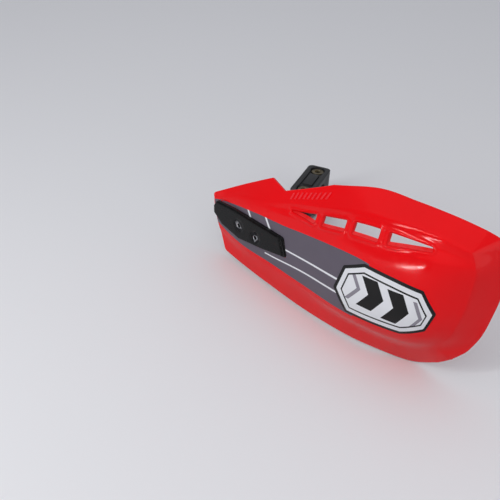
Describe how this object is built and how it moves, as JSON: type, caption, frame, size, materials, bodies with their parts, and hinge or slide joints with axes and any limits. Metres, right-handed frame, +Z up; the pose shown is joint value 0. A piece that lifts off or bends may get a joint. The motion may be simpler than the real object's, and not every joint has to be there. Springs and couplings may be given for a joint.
{
  "type": "motorcycle hand guard",
  "caption": "Left-hand motorcycle hand guard: a curved plastic shell with air vents and a front plate, held by a bracket with a split handlebar clamp.",
  "frame": {"origin": "middle of the handlebar bore in the clamp", "axes": "+X along the bar towards its outer end, +Z up, so the front of the guard faces -Y"},
  "size_m": [0.2205, 0.1797, 0.1177],
  "materials": {
    "shell_red": "injection-moulded polypropylene, satin gloss",
    "plate_black": "fine grained moulded plastic",
    "bracket_black": "glass-filled nylon, fine grain",
    "cap_black": "glass-filled nylon, fine grain",
    "screw_steel": "zinc-plated steel",
    "nut_zinc": "yellow zinc-plated steel",
    "bolt_dark": "dark bronze-toned zinc-plated steel",
    "washer_zinc": "yellow zinc-plated steel",
    "insert_brass": "knurled brass insert"
  },
  "bodies": {
    "root": {"guard_shell": "shell_red", "front_plate": "plate_black", "plate_screw_inner": "screw_steel", "plate_screw_outer": "screw_steel", "foot_nut_inner": "nut_zinc", "foot_nut_outer": "nut_zinc", "bracket": "bracket_black", "clamp_cap": "cap_black", "clamp_bolt_front": "bolt_dark", "clamp_bolt_rear": "bolt_dark", "clamp_washer_front": "washer_zinc", "clamp_washer_rear": "washer_zinc", "cap_insert_front": "insert_brass", "cap_insert_rear": "insert_brass"}
  },
  "joints": []
}
